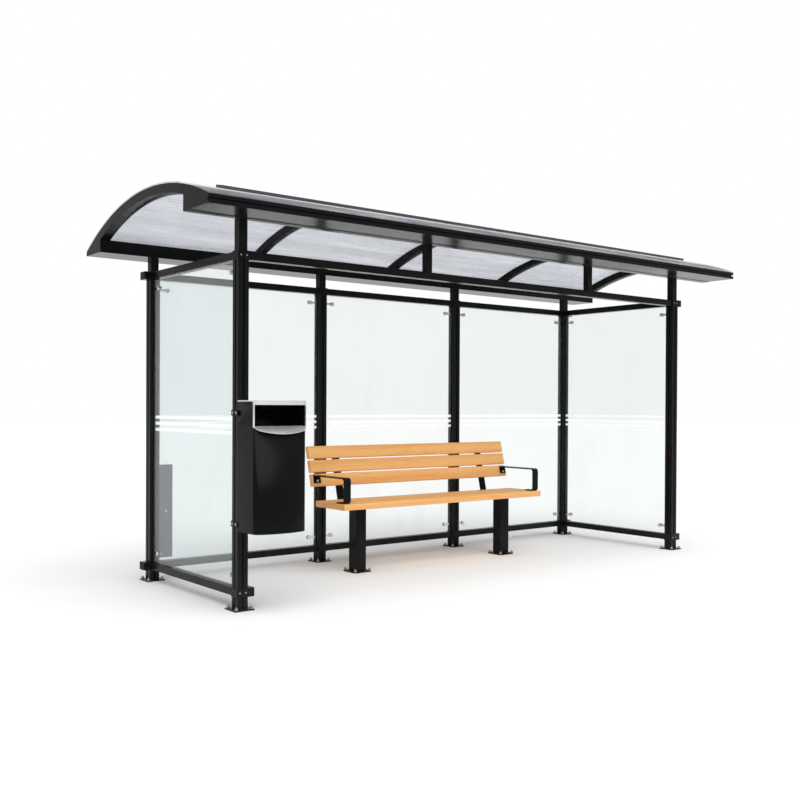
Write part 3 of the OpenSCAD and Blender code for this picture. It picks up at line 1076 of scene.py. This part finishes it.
@dataclass
class Bench:
    """Seat, leaning back slats, legs, brackets and armrests, with bolts and anchors."""

    length: float = 1970 * MM
    slat_t: float = 34 * MM
    lean_deg: float = 14.0
    rounding: float = 4.5 * MM
    leg_gap: float = 1450 * MM
    support_t: float = 10 * MM
    anchor_gap: float = 127.5 * MM
    leg_y: float = 125 * MM
    plate_t: float = 8 * MM
    arm_t: float = 9 * MM
    tab_bolt_z: float = 38 * MM

    def __post_init__(self) -> None:
        """Finds the slats and sets the backrest's leaning frame."""
        lean = math.radians(self.lean_deg)
        low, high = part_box("bench_slat_low")
        next_low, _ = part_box("bench_slat_middle")
        depth = self.slat_t * math.sin(lean)
        self.slat_h = (high.z - low.z - depth) / math.cos(lean)
        self.slat_gap = (next_low.z - low.z) / math.cos(lean) - self.slat_h
        foot = Matrix.Translation((0, low.y, low.z + depth))
        self.leaning = foot @ Matrix.Rotation(-lean, 4, "X")

    def build(self) -> None:
        """Replaces the plain planks, dresses the steel and adds the fixings."""
        self.seat()
        for i, node in enumerate(("bench_slat_low", "bench_slat_middle", "bench_slat_top")):
            self.slat(i, node)
        dress("bench_legs", STEEL_COAT, 7.0, 4)
        dress("bench_base_plates", STEEL_COAT, 1.5)
        dress("bench_brackets", STEEL_COAT, 2.0)
        for arm in ("bench_armrest_left", "bench_armrest_right"):
            dress(arm, STEEL_COAT, 2.6, 3)
        self.armrest_bolts()
        self.back_bolts()
        self.anchors()

    def seat(self) -> None:
        """Makes the seat board with rounded edges."""
        low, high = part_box("bench_seat")
        wood = OiledHardwood("oiled_hardwood_seat", pith=(0.31, 0.22))
        shape = Shape()
        shape.box(low, high, 6 * MM, steps=4)
        board = shape.place("seat_board", wood, Slot.WOOD)
        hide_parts("bench_seat")

    def slat(self, index: int, node: str) -> None:
        """Makes one rounded slat of the backrest.

        Args:
            index: Its place, from the lowest up.
            node: The plain packed slat that it replaces.
        """
        wood = OiledHardwood(
            f"oiled_hardwood_{node}", pith=(0.12 + 0.13 * index, -0.45 + 0.21 * index)
        )
        foot = index * (self.slat_h + self.slat_gap)
        shape = Shape()
        shape.box(
            (-self.length / 2, 0.0, foot),
            (self.length / 2, self.slat_t, foot + self.slat_h),
            self.rounding,
            self.leaning,
            4,
        )
        plank = shape.place(node.replace("bench_slat", "back_plank"), wood, Slot.WOOD)
        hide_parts(node)

    def _leaning_screw(self, shape: Shape, screw: Screw, place: Point, way: int) -> None:
        """Adds a screw square to the leaning back, facing front (-1) or back (1)."""
        loose = Shape()
        axis = Axis.FRONT if way < 0 else Axis.BACK
        screw.add(loose, place, axis)
        bmesh.ops.transform(loose.mesh, matrix=self.leaning, verts=loose.mesh.verts[:])
        data = bpy.data.meshes.new("loose")
        loose.mesh.to_mesh(data)
        loose.mesh.free()
        shape.mesh.from_mesh(data)
        bpy.data.meshes.remove(data)

    def armrest_bolts(self) -> None:
        """Adds the bright bolt through each armrest's tab."""
        shape = Shape()
        bolt = Screw(8.0 * MM, 4.0 * MM, 10.0 * MM, 1.5 * MM)
        for node in ("bench_armrest_left", "bench_armrest_right"):
            low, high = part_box(node)
            x = (low.x + high.x) / 2
            self._leaning_screw(shape, bolt, (x, -self.arm_t, self.tab_bolt_z), -1)
        shape.place("armrest_bolts", POLISHED, Slot.STEEL)

    def back_bolts(self) -> None:
        """Adds two screws into each slat through each back support."""
        shape = Shape()
        face = self.slat_t + self.support_t
        for side in (-1, 1):
            for i in range(3):
                middle = i * (self.slat_h + self.slat_gap) + self.slat_h / 2
                for dx in (-18 * MM, 18 * MM):
                    place = (side * self.leg_gap / 2 + dx, face, middle)
                    self._leaning_screw(shape, Screw(), place, 1)
        shape.place("back_screws", ZINC, Slot.STEEL)

    def anchors(self) -> None:
        """Adds four anchors through each leg's base plate."""
        shape = Shape()
        for x in (-self.leg_gap / 2, self.leg_gap / 2):
            anchor_plate(shape, (x, self.leg_y, self.plate_t), self.anchor_gap)
        shape.place("bench_anchors", ZINC, Slot.STEEL)


@dataclass
class LitterBin:
    """Litter bin with a bulged front, a stainless lid and a framed mouth."""

    bulge: float = 38 * MM
    corner_r: float = 45 * MM
    wall: float = 3 * MM
    mouth_h: float = 125 * MM
    lid_h: float = 26 * MM
    plate_h: float = 7 * MM
    lid_proud: float = 4 * MM
    lip_drop: float = 26 * MM
    lip_t: float = 3 * MM
    frame_w: float = 14 * MM
    clamp_h: float = 34 * MM
    lock_drop: float = 45 * MM
    lock_in: float = 70 * MM
    # How far the cut point lies from the flat side toward its neighbour on the corner
    cut_share: float = 0.15
    corner_steps: int = 14
    front_steps: int = 36

    def __post_init__(self) -> None:
        """Takes the bin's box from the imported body."""
        self.low, self.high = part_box("bin_body")
        self.lid_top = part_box("bin_lid")[1].z
        self.width = self.high.x - self.low.x
        self.sides = self.high.y - self.low.y - self.bulge
        self.mouth_y = self.high.y - self.sides + self.corner_r / 2
        self.mouth_z = self.lid_top - self.lid_h - self.mouth_h

    def plan(self, grow: float = 0.0) -> list[Pair]:
        """Outline of the bin in plan, from the back's right end round to the front's.

        Args:
            grow: How far it stands outside the body.

        Returns:
            Points in order, left side first.
        """
        half = self.width / 2 + grow
        bulge_r = (half**2 + self.bulge**2) / (2 * self.bulge)
        lean = math.asin((half - self.corner_r) / (bulge_r - self.corner_r))
        centre_y = bulge_r - self.bulge - self.sides - grow
        corner_y = centre_y - (bulge_r - self.corner_r) * math.cos(lean)
        middle = (self.low.x + self.high.x) / 2
        points = [(half, 0.0), (-half, 0.0)]
        radius, steps, down = self.corner_r, self.corner_steps, 1.5 * math.pi
        arcs = (
            (-half + radius, corner_y, radius, math.pi, down - lean, steps),
            (0.0, centre_y, bulge_r, down - lean, down + lean, self.front_steps),
            (half - radius, corner_y, radius, down + lean, math.tau, steps),
        )
        for x, y, radius, start, end, steps in arcs:
            for i in range(steps + 1):
                angle = start + (end - start) * i / steps
                point = (x + radius * math.cos(angle), y + radius * math.sin(angle))
                if math.dist(point, points[-1]) > 0.2 * MM:
                    points.append(point)
        return [(middle + x, self.high.y + y) for x, y in points]

    def build(self) -> None:
        """Makes the shell, lid and mouth frame and adds their fixings."""
        self.shell()
        self.lid()
        self.mouth_frame()
        dress("bin_clamps", STEEL_COAT, 1.2)
        self.fixings()

    def lip_z(self, y: float) -> float:
        """Height of the mouth's lower edge at a depth."""
        return self.mouth_z - (self.mouth_y - y) * self.lip_drop / self.bulge

    def split_plan(self, grow: float = 0.0) -> tuple[list[Pair], list[Pair]]:
        """Cuts the plan where the mouth begins.

        Args:
            grow: How far the plan stands outside the body.

        Returns:
            The part in front of the mouth's plane, left to right, and the part behind it, right
            to left. Both hold the two points on the plane.
        """
        points = self.plan(grow)
        left, right = min(p[0] for p in points), max(p[0] for p in points)
        front = [p for p in points if p[1] < self.mouth_y - 0.1 * MM]
        back = [p for p in points if p[1] > self.mouth_y + 0.1 * MM]
        cut_left, cut_right = self._cut(front[0], left), self._cut(front[-1], right)
        back_right = [p for p in back if p[0] > (left + right) / 2]
        back_left = [p for p in back if p[0] <= (left + right) / 2]
        back_right.sort(key=lambda p: p[1])
        back_left.sort(key=lambda p: -p[1])
        return [cut_left, *front, cut_right], [cut_right, *back_right, *back_left, cut_left]

    def _cut(self, near: Pair, side: float) -> Pair:
        """Point of the outline on the mouth's plane, between the flat side and near."""
        return side + self.cut_share * (near[0] - side), self.mouth_y

    def shell(self) -> None:
        """Makes the black body: floor, walls, and the front cut down to the lip."""
        front, back = self.split_plan()
        top = self.lid_top - self.plate_h
        shape = Shape()
        mesh = shape.mesh
        loop = front + back[1:-1]
        feet = [mesh.verts.new((x, y, self.low.z)) for x, y in loop]
        necks = []
        for i, (x, y) in enumerate(loop):
            z = self.lip_z(y) if i < len(front) else self.mouth_z
            necks.append(mesh.verts.new((x, y, z)))
        shape._join(feet, necks)
        mesh.faces.new(feet)
        behind = [necks[len(front) - 1], *necks[len(front) :], necks[0]]
        rims = [mesh.verts.new((v.co.x, v.co.y, top)) for v in behind]
        for i in range(len(behind) - 1):
            mesh.faces.new((behind[i], behind[i + 1], rims[i + 1], rims[i]))
        body = shape.place("bin_shell", STEEL_COAT, Slot.STEEL, 40)
        solid = body.modifiers.new("wall", "SOLIDIFY")
        solid.thickness = self.wall
        solid.offset = -1.0
        solid.use_even_offset = True
        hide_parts("bin_body")

    def lid(self) -> None:
        """Makes the stainless lid: a thin plate all over and a deep rim around the front."""
        outline = self.plan(self.lid_proud)
        front, _ = self.split_plan(self.lid_proud)
        under = self.lid_top - self.plate_h
        shape = Shape()
        shape.prism(outline, under, self.lid_top)
        shape.prism(front, self.lid_top - self.lid_h, under + 0.5 * MM)
        lid = shape.place("bin_lid_cover", BRUSHED, Slot.STAINLESS, 40)
        bevel = lid.modifiers.new("rolled_edge", "BEVEL")
        bevel.limit_method = "ANGLE"
        bevel.angle_limit = math.radians(50)
        bevel.width = 2.2 * MM
        bevel.segments = 4
        bevel.harden_normals = True
        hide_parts("bin_lid")

    def mouth_frame(self) -> None:
        """Makes the sloping lip and the upright strips at the mouth's sides."""
        front, _ = self.split_plan(self.lip_t)
        foot = [self.lip_z(y) for _, y in front]
        shape = Shape()
        shape.prism(front, foot, [z + self.lip_t for z in foot])
        under = self.lid_top - self.lid_h + 1 * MM
        for edge, way in ((self.low.x, -1), (self.high.x, 1)):
            xs = sorted((edge - way * 1 * MM, edge + way * self.lip_t))
            shape.box(
                (xs[0], self.mouth_y - self.frame_w, self.mouth_z - 6 * MM),
                (xs[1], self.mouth_y + 1 * MM, under),
                0.8 * MM,
            )
        frame = shape.place("bin_mouth_frame", BRUSHED, Slot.STAINLESS, 40)
        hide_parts("bin_trim")

    def fixings(self) -> None:
        """Adds the clamps' bolts and the body's lock."""
        low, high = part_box("bin_clamps")
        shape = Shape()
        bolt = Screw(6.5 * MM, 3.5 * MM, 8.5 * MM, 1.2 * MM)
        for z in (low.z + self.clamp_h / 2, high.z - self.clamp_h / 2):
            for y in (low.y + 14 * MM, high.y - 18 * MM):
                bolt.add(shape, (low.x, y, z), Axis.LEFT)
                bolt.add(shape, (high.x, y, z), Axis.RIGHT)
        lock = (self.high.x, self.high.y - self.lock_in, self.mouth_z - self.lock_drop)
        Screw(9 * MM, 3 * MM, 11 * MM, 1.5 * MM).add(shape, lock, Axis.RIGHT)
        shape.place("bin_fixings", ZINC, Slot.STEEL)


@dataclass
class ServiceBox:
    """Grey service box on the rear left post, with a cover, screws and a lock."""

    margin: float = 9 * MM
    cover_t: float = 2.5 * MM

    def build(self) -> None:
        """Dresses the box and adds its cover."""
        dress("service_box", BOX_COAT, 2.5, 3)
        low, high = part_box("service_box")
        m = self.margin
        cover = Shape()
        cover.box(
            (low.x + m, low.y - self.cover_t, low.z + m),
            (high.x - m, low.y + 1 * MM, high.z - m),
            1.2 * MM,
        )
        cover.place("service_cover", BOX_COAT, Slot.BOX)
        face = low.y - self.cover_t
        fixings = Shape()
        screw = Screw(3.5 * MM, 1.8 * MM, 5.0 * MM, 0.7 * MM)
        for x in (low.x + 2 * m, high.x - 2 * m):
            for z in (low.z + 2 * m, high.z - 2 * m):
                screw.add(fixings, (x, face, z), Axis.FRONT)
        middle = ((low.x + high.x) / 2, face, (low.z + high.z) / 2)
        Screw(8 * MM, 3 * MM, 10 * MM, 1.2 * MM).add(fixings, middle, Axis.FRONT)
        fixings.place("service_box_fixings", ZINC, Slot.BOX)


@dataclass
class Studio:
    """Pale floor, soft daylight and the camera."""

    floor_half: float = 60.0
    camera_place: Point = (-4.9003, -5.6714, 1.2087)
    yaw_deg: float = 38.222
    pitch_deg: float = -0.464
    roll_deg: float = 0.270
    lens_mm: float = 44.0
    sensor_mm: float = 36.0
    shift_y: float = 0.0173
    sky_seen: float = 1.0
    sky_light: float = 0.62
    sun_strength: float = 2.1
    sun_softness_deg: float = 60.0
    sun_from: Point = (-0.10, -0.50, 1.0)

    def build(self) -> None:
        """Makes the floor, the light and the camera."""
        self.floor()
        self.sky()
        self.sun()
        self.camera()
        bpy.context.scene.view_settings.view_transform = "Standard"

    def floor(self) -> None:
        """Lays the floor at ground level."""
        data = bpy.data.meshes.new("floor")
        h = self.floor_half
        corners = [(-h, -h, 0.0), (h, -h, 0.0), (h, h, 0.0), (-h, h, 0.0)]
        data.from_pydata(corners, [], [(0, 1, 2, 3)])
        data.materials.append(PALE_FLOOR.material())
        floor = bpy.data.objects.new("floor", data)
        bpy.context.scene.collection.objects.link(floor)

    def sky(self) -> None:
        """Lights the shelter evenly from all sides, in front of a white backdrop."""
        world = bpy.data.worlds.new("soft_sky")
        world.use_nodes = True
        tree = world.node_tree
        tree.nodes.clear()
        seen = add_node(tree, "ShaderNodeLightPath").outputs["Is Camera Ray"]
        strength = add_node(
            tree,
            "ShaderNodeMapRange",
            {"Value": seen, "To Min": self.sky_light, "To Max": self.sky_seen},
        ).outputs["Result"]
        shade = {"Color": linear("#ffffff"), "Strength": strength}
        back = add_node(tree, "ShaderNodeBackground", shade).outputs["Background"]
        add_node(tree, "ShaderNodeOutputWorld", {"Surface": back})
        bpy.context.scene.world = world

    def sun(self) -> None:
        """Adds a very soft key light from the front left."""
        data = bpy.data.lights.new("soft_key", "SUN")
        data.energy = self.sun_strength
        data.angle = math.radians(self.sun_softness_deg)
        lamp = bpy.data.objects.new("soft_key", data)
        way = -Vector(self.sun_from)
        lamp.rotation_mode = "QUATERNION"
        lamp.rotation_quaternion = way.to_track_quat("-Z", "Y")
        bpy.context.scene.collection.objects.link(lamp)

    def camera(self) -> None:
        """Places the camera at the front left, at eye level."""
        data = bpy.data.cameras.new("camera")
        data.lens = self.lens_mm
        data.sensor_width = self.sensor_mm
        data.shift_y = self.shift_y
        yaw, pitch = math.radians(self.yaw_deg), math.radians(self.pitch_deg)
        way = Vector(
            (math.sin(yaw) * math.cos(pitch), math.cos(yaw) * math.cos(pitch), math.sin(pitch))
        )
        roll = Matrix.Rotation(math.radians(self.roll_deg), 3, "Z")
        turn = way.to_track_quat("-Z", "Y").to_matrix() @ roll
        camera = bpy.data.objects.new("camera", data)
        camera.matrix_world = Matrix.Translation(self.camera_place) @ turn.to_4x4()
        bpy.context.scene.collection.objects.link(camera)
        bpy.context.scene.camera = camera


def main() -> None:
    """Builds the shelter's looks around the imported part."""
    logging.basicConfig(level=logging.INFO, format="%(name)s: %(message)s")
    for old in list(bpy.data.objects):
        bpy.data.objects.remove(old)
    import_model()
    Frame().build()
    Roof().build()
    GlassWalls().build()
    Bench().build()
    LitterBin().build()
    ServiceBox().build()
    Studio().build()
    bpy.context.view_layer.update()


if __name__ == "__main__":
    main()
